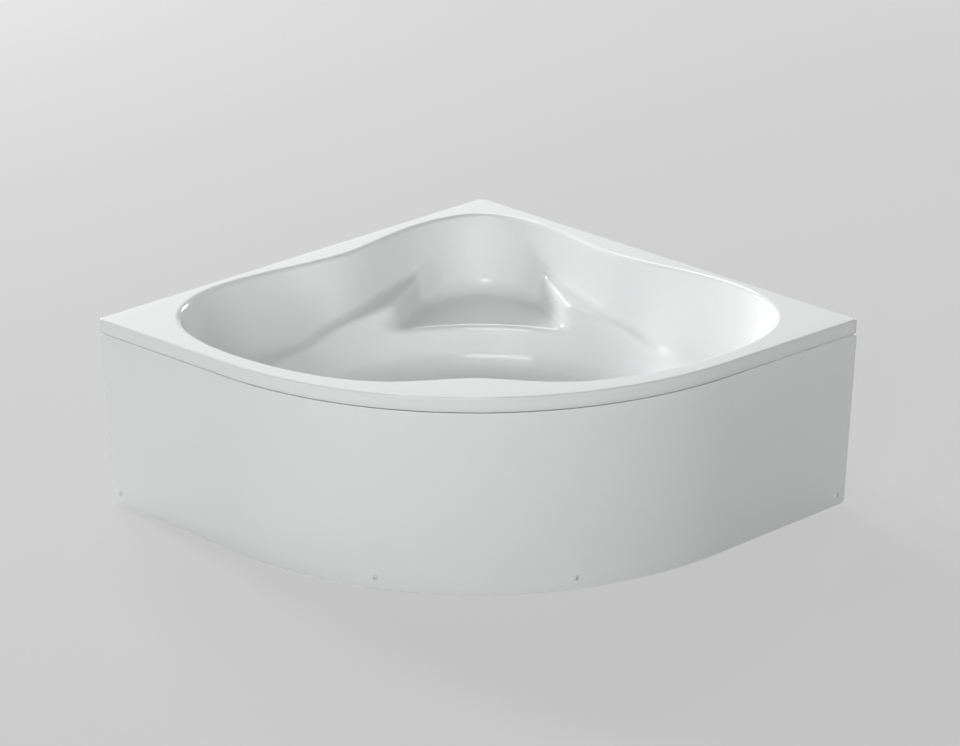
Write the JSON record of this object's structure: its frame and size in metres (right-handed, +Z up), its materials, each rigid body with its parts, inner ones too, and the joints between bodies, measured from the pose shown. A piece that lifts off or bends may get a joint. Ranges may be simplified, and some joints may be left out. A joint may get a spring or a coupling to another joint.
{
  "type": "corner bathtub",
  "caption": "White corner bathtub with a moulded corner seat between armrests, a curved front panel, a steel frame on levelling feet and a pop-up waste.",
  "frame": {"origin": "under the middle of the object's bounding box, on the floor", "axes": "+X to the right as seen from the front, along the long diagonal between the two end corners; +Y from the curved front towards the corner of the two walls; +Z up"},
  "size_m": [2.1236, 1.5844, 0.58],
  "materials": {
    "acrylic": "polished",
    "cap_plastic": "satin",
    "zinc_steel": "zinc plated",
    "frame_paint": "powder coated",
    "foot_plastic": "matt",
    "board_wood": "raw board",
    "chrome": "polished",
    "seal_rubber": "matt",
    "waste_plastic": "satin",
    "cable_sheath": "satin"
  },
  "bodies": {
    "bath": {"tub_shell": "acrylic", "apron_panel": "acrylic", "screw_caps": "cap_plastic", "cap_bases": "cap_plastic", "apron_screws": "zinc_steel", "frame_bolts": "zinc_steel", "board_screws": "zinc_steel", "lock_nuts": "zinc_steel", "apron_brackets_end": "zinc_steel", "apron_brackets_front": "zinc_steel", "apron_clips": "zinc_steel", "wall_brackets_left": "zinc_steel", "wall_brackets_right": "zinc_steel", "cross_rail_front": "frame_paint", "cross_rail_rear": "frame_paint", "long_rail_left": "frame_paint", "long_rail_right": "frame_paint", "bearer_front": "frame_paint", "bearer_rear": "frame_paint", "spine_rail": "frame_paint", "leg_front_left": "frame_paint", "leg_front_right": "frame_paint", "leg_end_left": "frame_paint", "leg_end_right": "frame_paint", "leg_back": "frame_paint", "wall_post_left": "frame_paint", "wall_post_right": "frame_paint", "seat_strut": "frame_paint", "leg_inserts": "foot_plastic", "base_board": "board_wood", "seat_board": "board_wood", "rim_batten_left": "board_wood", "rim_batten_right": "board_wood", "waste_flange": "chrome", "overflow_plate": "chrome", "waste_seal": "seal_rubber", "overflow_seal": "seal_rubber", "waste_body": "waste_plastic", "trap_body": "waste_plastic", "trap_nut": "waste_plastic", "outlet_nut": "waste_plastic", "outlet_pipe": "waste_plastic", "overflow_body": "waste_plastic", "pipe_nuts": "waste_plastic", "overflow_pipe": "waste_plastic", "pop_up_cable": "cable_sheath"},
    "foot_front_left": {"foot_stud_front_left": "zinc_steel", "foot_pad_front_left": "foot_plastic"},
    "foot_front_right": {"foot_stud_front_right": "zinc_steel", "foot_pad_front_right": "foot_plastic"},
    "foot_end_left": {"foot_stud_end_left": "zinc_steel", "foot_pad_end_left": "foot_plastic"},
    "foot_end_right": {"foot_stud_end_right": "zinc_steel", "foot_pad_end_right": "foot_plastic"},
    "foot_back": {"foot_stud_back": "zinc_steel", "foot_pad_back": "foot_plastic"},
    "plug": {"plug_cap": "chrome", "plug_stem": "chrome", "plug_seal": "seal_rubber"},
    "knob": {"overflow_knob": "chrome"}
  },
  "joints": [
    {"name": "foot_front_left_screw", "type": "slide", "parent": "bath", "child": "foot_front_left", "axis": [0, 0, 1], "range_m": [-0.015, 0.003]},
    {"name": "foot_front_right_screw", "type": "slide", "parent": "bath", "child": "foot_front_right", "axis": [0, 0, 1], "range_m": [-0.015, 0.003]},
    {"name": "foot_end_left_screw", "type": "slide", "parent": "bath", "child": "foot_end_left", "axis": [0, 0, 1], "range_m": [-0.015, 0.003]},
    {"name": "foot_end_right_screw", "type": "slide", "parent": "bath", "child": "foot_end_right", "axis": [0, 0, 1], "range_m": [-0.015, 0.003]},
    {"name": "foot_back_screw", "type": "slide", "parent": "bath", "child": "foot_back", "axis": [0, 0, 1], "range_m": [-0.015, 0.003]},
    {"name": "knob_turn", "type": "hinge", "parent": "bath", "child": "knob", "pos_m": [0, -0.64711, 0.495], "axis": [0, 0.9903, 0.1386], "range_deg": [0, 90]},
    {"name": "plug_lift", "type": "slide", "parent": "bath", "child": "plug", "axis": [0, 0, 1], "range_m": [0, 0.0101]}
  ],
  "couplings": [
    {"joint": "plug_lift", "follows": "knob_turn", "m_per_rad": 0.0063662}
  ]
}
